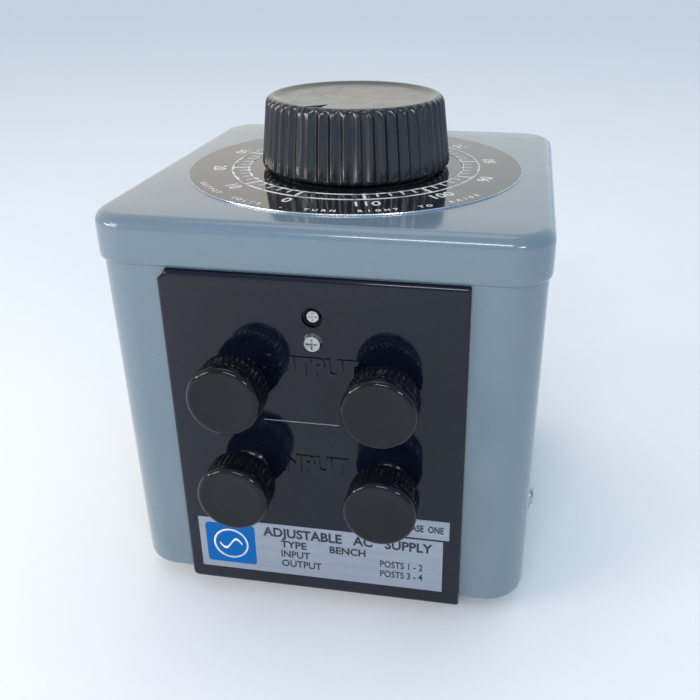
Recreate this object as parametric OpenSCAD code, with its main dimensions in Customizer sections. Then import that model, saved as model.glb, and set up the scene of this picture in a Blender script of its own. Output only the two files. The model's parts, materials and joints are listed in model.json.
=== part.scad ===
// Bench variable autotransformer: a toroidal winding in a cast case, a brush arm turned by the
// top knob, and four screw-down binding posts on the front panel. Millimetres, +Z up.
// The origin is on the resting surface, under the middle of the whole outline. Each module draws
// about the shaft, which stands at [0, shaft_y]. The front of the case looks along -Y.

/* [Case] */
// Width and depth of the lid
lid_w = 136; // [134:0.5:140]
// Height of the lid's top above the underside of the case
lid_top = 128.7; // [128:0.1:132]
// Height of the lid's skirt
skirt_h = 14.5; // [12:0.5:16]
// How far the lid's skirt stands out from the case wall
lid_lip = 1.0; // [0.8:0.1:1.2]
// How much narrower each side of the case is at its foot than at its top
case_draft = 0.7; // [0:0.1:1]
// Vertical corner radius of the lid
lid_corner_r = 12.8; // [12:0.2:15]
// Vertical corner radius of the case wall
case_corner_r = 12.6; // [12:0.2:14]
// Height of the rubber feet
foot_h = 5; // [4.5:0.1:6]

/* [Front panel] */
// Width of the terminal panel
panel_w = 91.7; // [88:0.1:100]
// Distance from the shaft to the panel's face
panel_face = 69; // [68.8:0.1:69.4]
// Height of the panel's lower edge above the underside of the case
panel_low = 0.2; // [0:0.1:1]
// Distance of each binding post from the middle of the panel
post_x = 22.5; // [20:0.5:24]
// Height of the output posts above the underside of the case
output_z = 80.8; // [79:0.1:82]
// Height of the input posts above the underside of the case
input_z = 47.1; // [45:0.1:49]

/* [Binding posts] */
// Diameter of a post's cap
cap_d = 22; // [21:0.2:24]
// Length of a post's cap
cap_len = 11; // [10.5:0.1:11.5]
// Distance from the panel's face to the cap's face when stored
cap_out = 16.5; // [16.5:0.1:17]
// Diameter of the threaded stud
stud_d = 6; // [5.5:0.5:6]
// Diameter of the cross hole for a wire
wire_hole_d = 2.5; // [2:0.1:2.5]

/* [Knob and dial] */
// Diameter of the dial plate
dial_d = 114.4; // [113:0.2:118]
// Thickness of the dial plate
dial_t = 0.6; // [0.6:0.1:1.2]
// Diameter of the knob at its base
knob_d = 65; // [60:0.5:66]
// Diameter of the knob at its top
knob_top_d = 59.8; // [56:0.2:60]
// Height of the knob's rim above the lid
knob_top = 24.9; // [24:0.1:27]
// Number of finger flutes round the knob
knob_flutes = 48; // [36:1:48]

/* [Transformer] */
// Outside diameter of the winding
coil_d = 100; // [98:0.5:100]
// Diameter of the hole through the winding
coil_bore = 42; // [41:0.5:43]
// Height of the winding
coil_h = 72; // [68:1:74]
// Diameter of the shaft
shaft_d = 8; // [7.8:0.1:8]

/* [Hidden] */

$fn = 64;
fit = 0.05;          // radial clearance of a running fit
eps = 0.01;

// Case
lid_half = lid_w / 2;
body_half = lid_half - lid_lip;
rim_half = body_half - 0.4;
rim_r = case_corner_r - 0.4;
lid_t = 2.2;
wall = 2;
body_z = foot_h;
lid_z = foot_h + lid_top;
skirt_z = lid_z - skirt_h;
floor_z = body_z + wall;
rim_z = lid_z - lid_t;
edge_r = 4;          // rounding of the case's lower edge
lid_edge_r = 3;      // rounding of the lid's upper edge
low_half = body_half - case_draft;
inner_half = low_half - wall;
cavity_draft = 0.03;  // how much wider each side of the case's inside is at its top
foot_xy = 48;
foot_recess = 2.8;
shaft_y = (panel_face + cap_out - lid_half) / 2;

// Panel
panel_back = body_half;
panel_t = panel_face - panel_back;
panel_z = body_z + panel_low;
panel_top = skirt_z - 0.3;
panel_chamfer = 2.6;
panel_bevel = 0.8;
panel_screw_x = 0.5;
panel_screw_z = body_z + 94;
recess_z = body_z + 101.8;
recess_r = 3.1;      // hole through which the upper screw is reached
label_t = 0.2;
m3_hole = 1.7;
m4_hole = 2.2;

// Earth screw in the right wall
earth_y = -47;
earth_up = 31.5;     // above the underside of the case
earth_washer_t = 0.4;
earth_nut_t = 3;
earth_wall = body_half - case_draft * (1 - earth_up / (lid_top - skirt_h)) + 0.02;

// Binding posts, measured back from the panel's face (negative is outwards)
post_places = [[-post_x, body_z + output_z], [post_x, body_z + output_z],
               [-post_x, body_z + input_z], [post_x, body_z + input_z]];
stud_r = stud_d / 2;
collar_t = 1;
washer_t = 1;
washer_gap = 0.1;
cap_back = cap_out - cap_len;
stud_out = 11;
stud_in = panel_face - 53.5;
wire_hole_out = 2.75;
inner_wall = panel_face - inner_half;   // from the panel's face to the inside of the case
bush_hole_r = 5.9;
flange_t = 1.5;
nut_t = 5;
end_nut_t = 2.6;
tag_t = 0.8;
tag_tail = 9.5;
tag_out = -inner_wall - flange_t - nut_t - tag_t - 2 * eps;
tag_y = -panel_face - tag_out;   // the tags' inner face

// Transformer stack
plate_t = 3;
plate_z = floor_z;
pad_z = plate_z + plate_t;
lower_pad_t = 4;
coil_z = pad_z + lower_pad_t;
coil_r = coil_d / 2;
bore_r = coil_bore / 2;
coil_top = coil_z + coil_h;
wire_t = 2;
shell_t = 1;
upper_pad_t = 2;
flange_z = coil_top + upper_pad_t;
hub_top = flange_z + 4;
hub_r = 9;
hub_foot_r = 15.5;
hub_screw_at = 11.5;
clamp_r = 31;
shaft_r = shaft_d / 2;
bush_r = 6;
bush_len = 10;
pillar_r = 2.5;
pillar_at = 53.2;
coil_gap = 20;       // degrees of bare core between the winding's two ends
rest_angle = -111;   // direction of the knob's pointer when stored, a little past the dial's 0

// Wiring
lead_d = 2.4;
end_lead_d = 1.9;
lead_r = 18.5;       // where the take-off lead runs down inside the winding
lead_a = -62;        // its direction
lead_bottom = pad_z + 1.6;
lead_y = tag_y + lead_d / 2 + 0.05;
tag_solder = 7.5;    // from a post's middle to where its leads are soldered
takeoff_a = -22;     // direction of the take-off contact

// Rotor
arm_hub_z = hub_top + 1.7;
arm_z = hub_top + 9;
arm_t = 4;
arm_r = 48;
arm_hub_r = 11;
arm_hub_h = 23;
track_r = 43;        // radius at which the brush meets the winding
brush_gap = 0.1;
brush_h = 11;
spring_h = 10;
holder_top = coil_top + brush_gap + brush_h + spring_h + 1.5;
stop_r = 26.5;
lug_a = 18;          // angle that the stop lug spans
knob_gap = 0.6;      // between the dial and the knob
knob_z = lid_z + dial_t + knob_gap;
knob_rim = lid_z + knob_top;

module on_axis(z = 0) translate([0, shaft_y, z]) children();

// Flat square outline with round corners
module rounded_square(half, r) {
    square([2 * (half - r), 2 * half], center = true);
    square([2 * half, 2 * (half - r)], center = true);
    for (x = [-1, 1], y = [-1, 1]) translate([x * (half - r), y * (half - r)]) circle(r);
}

// Thin slice of a round-cornered block
module slice(half, r, z) translate([0, 0, z]) linear_extrude(eps) rounded_square(half, r);

// The same, drawn in from the full outline by an inset
module inset_slice(half, r, inset, z) slice(half - inset, r - inset, z);

// Cylinder pointing out of the front panel: y1 and y2 are distances outwards from its face
module front_rod(r, y1, y2) {
    translate([0, -panel_face - y1, 0]) rotate([90, 0, 0]) cylinder(r = r, h = y2 - y1);
}

// Ring of revolution pointing out of the front panel
module front_ring(r_out, r_in, y1, y2) {
    difference() {
        front_rod(r_out, y1, y2);
        front_rod(r_in, y1 - 1, y2 + 1);
    }
}

module at_posts() for (p = post_places) translate([p[0], 0, p[1]]) children();

module at_panel_screws() for (z = [panel_screw_z, recess_z]) translate([panel_screw_x, 0, z]) children();

module at_corners(d) for (x = [-d, d], y = [-d, d]) translate([x, y, 0]) children();

module ring(r_out, r_in, h) {
    difference() {
        cylinder(r = r_out, h = h);
        translate([0, 0, -1]) cylinder(r = r_in, h = h + 2);
    }
}

// Pan-head screw standing on z = 0, its shank going down
module pan_screw(d, head_r, head_h, len) {
    difference() {
        union() {
            cylinder(r1 = head_r, r2 = head_r * 0.8, h = head_h);
            translate([0, 0, -len]) cylinder(r = d / 2, h = len + eps);
        }
        for (a = [0, 90]) rotate(a)
            translate([-head_r * 0.6, -d * 0.1, head_h * 0.45]) cube([head_r * 1.2, d * 0.2, head_h]);
    }
}

module hex_nut(across, r_hole, h) {
    difference() {
        cylinder(r = across / sqrt(3), h = h, $fn = 6);
        translate([0, 0, -1]) cylinder(r = r_hole, h = h + 2);
    }
}

// Case ------------------------------------------------------------------------------------

module body_block() {
    hull() {
        for (a = [0 : 22.5 : 90])
            inset_slice(low_half, case_corner_r, edge_r * (1 - cos(a)),
                        body_z + edge_r * (1 - sin(a)));
        slice(body_half, case_corner_r, skirt_z - 0.3);
    }
    translate([0, 0, skirt_z - 0.4]) linear_extrude(rim_z - skirt_z + 0.4)
        rounded_square(rim_half, rim_r);
}

module case_body() {
    color([0.50, 0.58, 0.64]) on_axis() difference() {
        body_block();
        hull() {
            inset_slice(low_half, case_corner_r, wall + 1.5, floor_z);
            inset_slice(low_half, case_corner_r, wall, floor_z + 1.5);
            inset_slice(low_half, case_corner_r, wall - cavity_draft, rim_z + 1);
        }
        at_corners(foot_xy) translate([0, 0, body_z - 1]) cylinder(r = m4_hole, h = wall + 2);
        at_posts() front_rod(bush_hole_r + 0.1, -10, 0);
        at_panel_screws() front_rod(m3_hole, -10, 0);
        earth_at(body_half - 6) cylinder(r = m4_hole, h = 10);
    }
}

module top_lid() {
    color([0.52, 0.60, 0.66]) on_axis() difference() {
        hull() {
            inset_slice(lid_half, lid_corner_r, 0.8, skirt_z);
            translate([0, 0, skirt_z + 1.2]) linear_extrude(skirt_h - 1.2 - lid_edge_r)
                rounded_square(lid_half, lid_corner_r);
            for (a = [22.5 : 22.5 : 90])
                inset_slice(lid_half, lid_corner_r, lid_edge_r * (1 - cos(a)),
                            lid_z - eps - lid_edge_r * (1 - sin(a)));
        }
        translate([0, 0, skirt_z - 1]) linear_extrude(rim_z - skirt_z + 1)
            rounded_square(rim_half + 0.1, rim_r + 0.1);
        translate([0, 0, rim_z - 1]) cylinder(r = 8, h = lid_t + 2);
        for (a = [45 : 90 : 315]) rotate(a) translate([pillar_at, 0, 0]) {
            translate([0, 0, rim_z - 1]) cylinder(r = m3_hole, h = lid_t + 2);
            translate([0, 0, lid_z - 1.65]) cylinder(r1 = 1.7, r2 = 3.4, h = 1.66);
        }
    }
}

module dial_plate() {
    color([0.08, 0.08, 0.09]) on_axis(lid_z) ring(dial_d / 2, 8, dial_t);
}

// Pointing out of the right wall, at a distance from the shaft
module earth_at(x) {
    translate([x, earth_y, body_z + earth_up]) rotate([0, 90, 0]) children();
}

module earth_screw() {
    color("silver") on_axis() earth_at(earth_wall + earth_washer_t) pan_screw(4, 3.4, 1.05, 9);
}

module earth_washer() {
    color("gainsboro") on_axis() earth_at(earth_wall) ring(4.5, 2.15, earth_washer_t - eps);
}

module earth_nut() {
    color("silver") on_axis() earth_at(inner_half - earth_nut_t - eps)
        hex_nut(7, 2.05, earth_nut_t);
}

module rubber_feet() {
    color([0.12, 0.12, 0.12]) on_axis() at_corners(foot_xy) difference() {
        cylinder(r1 = 7.5, r2 = 8.5, h = foot_h);
        translate([0, 0, -1]) cylinder(r = 4.4, h = foot_recess + 1);
        cylinder(r = m4_hole, h = foot_h + 1);
    }
}

module feet_screws() {
    color("silver") on_axis() at_corners(foot_xy)
        translate([0, 0, foot_recess]) rotate([180, 0, 0]) pan_screw(4, 3.8, 2.2, pad_z + 1.2);
}

module feet_nuts() {
    color("silver") on_axis(pad_z) at_corners(foot_xy) hex_nut(7, 2.05, 3.2);
}

// Front panel -----------------------------------------------------------------------------

module panel_outline(inset) {
    half = panel_w / 2 - inset;
    low = panel_z + inset;
    high = panel_top - inset;
    cut = panel_chamfer;
    polygon([[half, low], [half, high], [-half + cut, high], [-half, high - cut],
             [-half, low + cut], [-half + cut, low]]);
}

module terminal_panel() {
    color([0.09, 0.09, 0.10]) on_axis() difference() {
        hull() {
            translate([0, -panel_back, 0]) rotate([90, 0, 0])
                linear_extrude(panel_t - panel_bevel) panel_outline(0);
            translate([0, -panel_back, 0]) rotate([90, 0, 0])
                linear_extrude(panel_t) panel_outline(panel_bevel);
        }
        at_posts() front_rod(stud_r + fit, -10, 5);
        translate([panel_screw_x, 0, panel_screw_z]) front_rod(m3_hole, -10, 5);
        translate([panel_screw_x, 0, recess_z]) front_rod(recess_r, -10, 5);
    }
}

module front_label(x0, x1, z0, z1) {
    translate([x0, -panel_face - label_t, z0]) cube([x1 - x0, label_t, z1 - z0]);
}

module rating_label() {
    color([0.72, 0.74, 0.78]) on_axis() front_label(-41.5, 40.3, body_z + 5.9, body_z + 26.3);
}

module origin_label() {
    color([0.75, 0.77, 0.80]) on_axis() front_label(25.8, 42.2, body_z + 27.0, body_z + 34.3);
}

module panel_screw() {
    color("silver") on_axis() translate([panel_screw_x, -panel_face, panel_screw_z])
        rotate([90, 0, 0]) pan_screw(3, 2.95, 1.3, 9);
}

module recessed_screw() {
    color("silver") on_axis() translate([panel_screw_x, -panel_back, recess_z])
        rotate([90, 0, 0]) pan_screw(3, 2.2, 1.1, 8);
}

module panel_nuts() {
    color("silver") on_axis() at_panel_screws()
        translate([0, -inner_half + 2.4 + eps, 0]) rotate([90, 0, 0]) hex_nut(5.5, 1.55, 2.4);
}

module post_studs() {
    color("gold") on_axis() at_posts() difference() {
        front_rod(stud_r, -stud_in, stud_out);
        translate([-10, -panel_face - wire_hole_out, 0]) rotate([0, 90, 0])
            cylinder(r = wire_hole_d / 2, h = 20);
    }
}

module post_collars() {
    color("gainsboro") on_axis() at_posts() front_ring(6.5, stud_r + fit, 0, collar_t);
}

module post_bushes() {
    color([0.85, 0.80, 0.68]) on_axis() at_posts() {
        front_ring(bush_hole_r, stud_r + fit, -inner_wall, panel_back - panel_face);
        front_ring(8, stud_r + fit, -inner_wall - flange_t, -inner_wall - eps);
    }
}

module post_nuts() {
    color("gold") on_axis() at_posts() {
        translate([0, -panel_face + inner_wall + flange_t + nut_t + eps, 0]) rotate([90, 0, 0])
            hex_nut(10, stud_r + fit, nut_t);
        translate([0, tag_y + end_nut_t + eps, 0]) rotate([90, 0, 0])
            hex_nut(10, stud_r + fit, end_nut_t);
    }
}

module solder_tags() {
    color("gainsboro") on_axis() at_posts() {
        front_ring(5, stud_r + fit, tag_out, tag_out + tag_t);
        for (s = [-1, 1]) translate([-2, tag_y - tag_t, s > 0 ? 4.2 : -tag_tail])
            cube([4, tag_t, tag_tail - 4.2]);
    }
}

// Wiring ----------------------------------------------------------------------------------

function unit(v) = v / norm(v);

// A route with its corners cut, twice over, so that it bends smoothly
function cut_corners(p) = [
    p[0],
    for (i = [0 : len(p) - 2]) each [p[i] * 0.75 + p[i + 1] * 0.25, p[i] * 0.25 + p[i + 1] * 0.75],
    p[len(p) - 1]
];

// Direction of a route at point i
function heading(p, i) = unit(p[min(i + 1, len(p) - 1)] - p[max(i - 1, 0)]);

// A direction across the route at point i, carried along from its start without twisting
function across(p, i) =
    let (t = heading(p, i),
         seed = abs(t[2]) < 0.9 ? [0, 0, 1] : [1, 0, 0],
         before = i == 0 ? seed : across(p, i - 1))
    unit(before - (before * t) * t);

// Round tube through the points of a route
module tube(p, d, sides) {
    n = len(p);
    points = [for (i = [0 : n - 1]) let (t = heading(p, i), u = across(p, i), v = cross(t, u))
              for (k = [0 : sides - 1]) p[i] + d / 2 * (cos(360 * k / sides) * u + sin(360 * k / sides) * v)];
    walls = [for (i = [0 : n - 2], k = [0 : sides - 1]) let (m = (k + 1) % sides)
             each [[i * sides + k, i * sides + m, (i + 1) * sides + m],
                   [i * sides + k, (i + 1) * sides + m, (i + 1) * sides + k]]];
    ends = [for (k = [1 : sides - 2]) each [[0, k + 1, k],
            [(n - 1) * sides, (n - 1) * sides + k, (n - 1) * sides + k + 1]]];
    polyhedron(points, [for (f = concat(walls, ends)) [f[0], f[2], f[1]]]);
}

// A route with a point a little before and after each of its corners, so that only these are cut
function with_bends(p, r) = [
    p[0],
    for (i = [1 : len(p) - 2])
        each [p[i] - r * unit(p[i] - p[i - 1]), p[i], p[i] + r * unit(p[i + 1] - p[i])],
    p[len(p) - 1]
];

module wire(route, d) tube(cut_corners(cut_corners(with_bends(route, 3))), d, 8);

// Point at a radius and direction from the shaft
function polar(r, a, z) = [r * cos(a), r * sin(a), z];

module internal_leads() {
    out_z = body_z + output_z - tag_solder;
    in_z = body_z + input_z - tag_solder;
    color([0.6, 0.1, 0.1]) on_axis() {
        // From the take-off down inside the winding, out under it and up to the right output post
        wire([polar(lead_r, lead_a, hub_top + 3.4), polar(lead_r, lead_a, lead_bottom),
              polar(coil_r + 5, lead_a, lead_bottom), polar(coil_r + 5, lead_a, out_z - 12),
              [post_x, lead_y, out_z - 4], [post_x, lead_y, out_z + 2]], lead_d);
        // From the winding's two ends to the input posts
        for (s = [-1, 1])
            wire([[s * 16.5, -coil_r + 2.2, in_z - 12], [s * 16.5, -coil_r - 2.5, in_z - 12],
                  [s * (post_x - 3), lead_y, in_z - 5], [s * (post_x - 3), lead_y, in_z + 2]], end_lead_d);
        // Between the two left posts
        wire([[-post_x, lead_y, in_z + 2 * tag_solder - 1], [-post_x, lead_y, out_z - 8],
              [-post_x, lead_y, out_z + 1]], lead_d);
    }
}

// Transformer -----------------------------------------------------------------------------

module base_plate() {
    color([0.70, 0.71, 0.73]) on_axis(plate_z) difference() {
        linear_extrude(plate_t) rounded_square(foot_xy + 6.5, 8);
        at_corners(foot_xy) translate([0, 0, -1]) cylinder(r = m4_hole, h = plate_t + 2);
        translate([0, 0, -1]) cylinder(r = 8, h = plate_t + 2);
        for (a = [45 : 90 : 315]) rotate(a) translate([pillar_at, 0, -1]) cylinder(r = 1.6, h = plate_t + 2);
        for (a = [0 : 120 : 240]) rotate(a) translate([hub_screw_at, 0, 0]) {
            translate([0, 0, -1]) cylinder(r = m3_hole, h = plate_t + 2);
            cylinder(r1 = 3.3, r2 = 1.7, h = 1.7);
        }
    }
}

module lid_pillars() {
    color([0.75, 0.75, 0.77]) on_axis() for (a = [45 : 90 : 315]) rotate(a)
        translate([pillar_at, 0, 0]) difference() {
            union() {
                translate([0, 0, pad_z]) cylinder(r = pillar_r, h = rim_z - pad_z);
                translate([0, 0, plate_z]) cylinder(r = 1.55, h = plate_t + 1);
            }
            translate([0, 0, rim_z - 12]) cylinder(r = 1.55, h = 13);
        }
}

// Countersunk screw, its flat head at z = 0 and its shank going down
module flat_screw(d, len) {
    difference() {
        union() {
            translate([0, 0, -d * 0.53]) cylinder(r1 = d / 2, r2 = d * 1.02, h = d * 0.53);
            translate([0, 0, -len]) cylinder(r = d / 2, h = len);
        }
        for (a = [0, 90]) rotate(a) translate([-d * 0.6, -0.3, -1]) cube([d * 1.2, 0.6, 2]);
    }
}

module lid_screws() {
    color("silver") on_axis(lid_z - 0.03) for (a = [45 : 90 : 315]) rotate(a)
        translate([pillar_at, 0, 0]) flat_screw(3, 10);
}

module hub_screws() {
    color("silver") on_axis(plate_z + 0.03) for (a = [0 : 120 : 240]) rotate(a)
        translate([hub_screw_at, 0, 0]) rotate([180, 0, 0]) flat_screw(3, 8);
}

module toroid_core() {
    inner = bore_r + wire_t + shell_t;
    outer = coil_r - wire_t - shell_t;
    color([0.45, 0.46, 0.48]) on_axis(coil_z + wire_t + shell_t)
        ring(outer, inner, coil_h - 2 * (wire_t + shell_t) - eps);
}

// One of the two insulating cups that close over the core; the other is its mirror image
module core_cup() {
    lo = bore_r + wire_t;
    hi = coil_r - wire_t;
    half = coil_h / 2 - wire_t - eps;
    rotate_extrude() polygon([[lo, 0], [lo, half], [hi, half], [hi, 0], [hi - shell_t, 0],
                              [hi - shell_t, half - shell_t], [lo + shell_t, half - shell_t],
                              [lo + shell_t, 0]]);
}

module core_insulation() {
    color([0.80, 0.72, 0.50]) on_axis(coil_z + coil_h / 2) {
        translate([0, 0, eps]) core_cup();
        translate([0, 0, -eps]) mirror([0, 0, 1]) core_cup();
    }
}

module winding() {
    color([0.72, 0.40, 0.20]) on_axis(coil_z) rotate(-90 + coil_gap / 2)
        rotate_extrude(angle = 360 - coil_gap, $fn = 96) difference() {
            translate([bore_r, 0]) square([coil_r - bore_r, coil_h]);
            translate([bore_r + wire_t, wire_t])
                square([coil_r - bore_r - 2 * wire_t, coil_h - 2 * wire_t]);
        }
}

module lower_pad() {
    color([0.55, 0.36, 0.22]) on_axis(pad_z) difference() {
        ring(coil_r - 2, hub_foot_r + 0.5, lower_pad_t - eps);
        rotate(lead_a) translate([0, -2, -1]) cube([60, 4, lower_pad_t + 2]);
    }
}

module upper_pad() {
    color([0.55, 0.36, 0.22]) on_axis(coil_top) ring(clamp_r, bore_r + 1, upper_pad_t - eps);
}

module centre_hub() {
    color([0.66, 0.67, 0.69]) on_axis() difference() {
        union() {
            translate([0, 0, pad_z]) cylinder(r = hub_foot_r, h = 8);
            translate([0, 0, pad_z]) cylinder(r = hub_r, h = hub_top - pad_z);
            translate([0, 0, flange_z]) cylinder(r = clamp_r, h = hub_top - flange_z);
        }
        translate([0, 0, pad_z - 1]) cylinder(r = bush_r, h = hub_top - pad_z + 2);
        for (a = [0 : 120 : 240]) rotate(a) translate([hub_screw_at, 0, pad_z - 1]) cylinder(r = 1.55, h = 7);
        rotate(lead_a) translate([lead_r, 0, flange_z - 1]) cylinder(r = 1.8, h = 8);
        rotate(90) translate([stop_r, 0, flange_z - 1]) cylinder(r = 1.55, h = 8);
    }
}

module upper_bush() {
    color("peru") on_axis(hub_top - bush_len) ring(bush_r - eps, shaft_r + fit, bush_len);
}

module lower_bush() {
    color("peru") on_axis(pad_z) ring(bush_r - eps, shaft_r + fit, bush_len);
}

module stop_pin() {
    color("silver") on_axis() rotate(90) translate([stop_r, 0, 0]) {
        translate([0, 0, flange_z]) cylinder(r = 1.5, h = 4);
        translate([0, 0, hub_top]) cylinder(r = 2.5, h = 6);
    }
}

module takeoff_block() {
    color([0.55, 0.36, 0.22]) on_axis(hub_top) rotate(takeoff_a)
        translate([13, -4, 0]) cube([8, 8, 3.5 - eps]);
}

module takeoff_contact() {
    strip_z = hub_top + 3.5;
    rise = arm_z - 2 - 0.08 - strip_z;
    color("gold") on_axis(strip_z) {
        rotate(takeoff_a) translate([17, 0, 0]) cylinder(r = 2.4, h = rise);
        arc_strip(lead_a - 6, takeoff_a + 10, 15.5, 19.5, 0.8);
    }
}

// Flat arc strip between two directions
module arc_strip(a1, a2, r1, r2, h) {
    rotate(a1) rotate_extrude(angle = a2 - a1) translate([r1, 0]) square([r2 - r1, h]);
}

// Rotor -----------------------------------------------------------------------------------

module knob() {
    r1 = knob_d / 2;
    r2 = knob_top_d / 2;
    h = knob_rim - knob_z;
    lean = atan2(r1 - r2, h);
    color([0.07, 0.07, 0.08]) on_axis(knob_z) difference() {
        union() {
            rotate_extrude($fn = 128) polygon([[0, 2.2], [8.5, 2.2], [8.5, 0.6], [r1 - 5.5, 0.6],
                [r1 - 3, 0], [r1 - 1.4, 0.2], [r1, 1.9], [r2 + 0.2, h - 1.4], [r2 - 1.2, h],
                [r2 - 2.6, h], [r2 - 4.2, h - 1.1], [0, h - 1.8]]);
            rotate(rest_angle) knob_pointer(r1, r2, h, lean);
        }
        for (i = [1 : knob_flutes - 1]) rotate(rest_angle + 360 * i / knob_flutes)
            translate([r1 + 0.35, 0, -1]) rotate([0, -lean, 0])
                cylinder(r = 1.25, h = h + 3, $fn = 16);
        translate([0, 0, -1]) cylinder(r = 8.05, h = h - 6);
        rotate(rest_angle + 180) translate([0, 0, 11]) rotate([0, 90, 0]) cylinder(r = 2.3, h = 40);
    }
}

// Ridge down the knob's side and a wedge running in over its top, along +X
module knob_pointer(r1, r2, h, lean) {
    translate([r1, 0, 2.2]) rotate([0, -lean, 0]) linear_extrude(h - 3.8)
        polygon([[-1.6, -3.1], [0.45, 0], [-1.6, 3.1]]);
    translate([0, 0, h - 2.3]) linear_extrude(2.2) polygon([[r2 - 1.8, -3], [r2 - 1.8, 3], [17, 0]]);
}

module knob_insert() {
    color("gold") on_axis(knob_z + 0.4) difference() {
        cylinder(r = 8, h = 15.6);
        translate([0, 0, -1]) cylinder(r = shaft_r + 0.02, h = 16.2);
        rotate(rest_angle + 180) translate([0, 0, 10.6]) rotate([0, 90, 0]) cylinder(r = 2.05, h = 20);
    }
}

module knob_setscrew() {
    color("dimgray") on_axis(knob_z + 11) rotate(rest_angle + 180) rotate([0, 90, 0]) difference() {
        translate([0, 0, shaft_r + 0.05]) cylinder(r = 2, h = 8);
        translate([0, 0, shaft_r + 6]) cylinder(r = 1.1, h = 4, $fn = 6);
    }
}

module shaft() {
    color([0.78, 0.74, 0.62]) on_axis() difference() {
        translate([0, 0, floor_z + 0.6]) cylinder(r = shaft_r, h = knob_z + 15 - floor_z - 0.6);
        translate([0, 0, floor_z + 1.4]) ring(shaft_r + 1, shaft_r - 0.6, 1.2);
    }
}

module shaft_circlip() {
    color("dimgray") on_axis(floor_z + 1.5) difference() {
        ring(5.5, shaft_r - 0.58, 1);
        translate([0, -1.5, -1]) cube([8, 3, 3]);
    }
}

module thrust_washer() {
    color([0.85, 0.83, 0.78]) on_axis(hub_top + 0.3) ring(8, shaft_r + 0.02, 1.4);
}

module brush_arm() {
    color([0.68, 0.69, 0.71]) on_axis() {
        difference() {
            union() {
                translate([0, 0, arm_hub_z]) cylinder(r = arm_hub_r, h = arm_hub_h);
                translate([0, 0, arm_z]) cylinder(r = arm_r, h = arm_t);
                for (a = [0 : 30 : 330]) rotate(rest_angle + 15 + a)
                    translate([arm_hub_r - 1, -1, arm_z + arm_t - 1]) cube([34, 2, 7]);
                stop_lug();
            }
            translate([0, 0, arm_hub_z - 1]) cylinder(r = shaft_r + 0.02, h = arm_hub_h + 2);
            rotate(rest_angle) translate([track_r - 5.6, -4.6, arm_z - 1]) cube([11.2, 9.2, arm_t + 2]);
            rotate(rest_angle + 180) translate([0, 0, arm_hub_z + 17.5]) rotate([0, 90, 0])
                cylinder(r = 2.05, h = 20);
        }
    }
}

// Lug under the brush arm: it meets the stop pin just past each end of the dial
module stop_lug() {
    translate([0, 0, arm_hub_z]) arc_strip(rest_angle + 180 - lug_a / 2, rest_angle + 180 + lug_a / 2,
                                           23, 30, arm_z - arm_hub_z + 1);
}

module arm_setscrew() {
    color("dimgray") on_axis(arm_hub_z + 17.5) rotate(rest_angle + 180) rotate([0, 90, 0]) difference() {
        translate([0, 0, shaft_r + 0.05]) cylinder(r = 2, h = 6.5);
        translate([0, 0, shaft_r + 4.5]) cylinder(r = 1.1, h = 4, $fn = 6);
    }
}

module slip_ring() {
    color("gold") on_axis(arm_z - 2) ring(20.5, 14, 2 - eps);
}

// Square brass tube with a cap, standing through the brush arm
module brush_holder() {
    low = arm_z - 10;
    color("gold") on_axis() rotate(rest_angle) translate([track_r, 0, 0]) {
        difference() {
            translate([-5.5, -4.5, low]) cube([11, 9, holder_top - low]);
            translate([-4.1, -3.1, low - 1]) cube([8.2, 6.2, holder_top - low + 2]);
        }
        translate([-5.5, -4.5, holder_top]) cube([11, 9, 1.2]);
    }
}

module carbon_brush() {
    color([0.15, 0.15, 0.16]) on_axis(coil_top + brush_gap) rotate(rest_angle)
        translate([track_r - 4, -3, 0]) cube([8, 6, brush_h]);
}

// Helical compression spring between the brush and the holder's cap
module brush_spring() {
    turns = 5;
    steps = 14;      // points in a turn
    wire_d = 0.7;
    r = 2.2;
    rise = spring_h - wire_d - 0.4;
    helix = [for (i = [0 : turns * steps]) let (a = 360 * i / steps)
             [r * cos(a), r * sin(a), wire_d / 2 + 0.2 + rise * i / (turns * steps)]];
    color("silver") on_axis(coil_top + brush_gap + brush_h) rotate(rest_angle)
        translate([track_r, 0, 0]) tube(helix, wire_d, 8);
}

// Binding-post parts that turn ---------------------------------------------------------------

module at_post(i) on_axis() translate([post_places[i][0], 0, post_places[i][1]]) children();

module clamp_washer(i) {
    color("gainsboro") at_post(i)
        front_ring(6.8, stud_r + fit, cap_back - washer_gap - washer_t, cap_back - washer_gap);
}

module cap_insert(i) {
    color("gold") at_post(i) difference() {
        front_rod(4.95, cap_back, cap_out - 1.6);
        front_rod(stud_r + fit, cap_back - 1, cap_out - 2);
    }
}

module post_cap(i) {
    r = cap_d / 2;
    grip = r - 0.5;
    color([0.08, 0.08, 0.09]) at_post(i) difference() {
        translate([0, -panel_face - cap_back, 0]) rotate([90, 0, 0]) rotate_extrude()
            polygon([[0, 0], [grip - 0.8, 0], [grip, 0.8], [grip, cap_len - 4.2],
                     [grip - 0.5, cap_len - 4.1], [grip - 0.5, cap_len - 3.6], [r, cap_len - 3.4],
                     [r, cap_len - 1.2], [r - 0.4, cap_len - 0.4], [r - 1.2, cap_len], [0, cap_len]]);
        front_rod(5, cap_back - 1, cap_out - 1.55);
        for (a = [0 : 15 : 345]) rotate([0, a, 0]) translate([grip + 0.45, 0, 0])
            front_rod(0.85, cap_back - 1, cap_out - 4.2, $fn = 16);
    }
}

module output_left_washer() clamp_washer(0);
module output_right_washer() clamp_washer(1);
module input_left_washer() clamp_washer(2);
module input_right_washer() clamp_washer(3);
module output_left_insert() cap_insert(0);
module output_right_insert() cap_insert(1);
module input_left_insert() cap_insert(2);
module input_right_insert() cap_insert(3);
module output_left_cap() post_cap(0);
module output_right_cap() post_cap(1);
module input_left_cap() post_cap(2);
module input_right_cap() post_cap(3);

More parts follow.
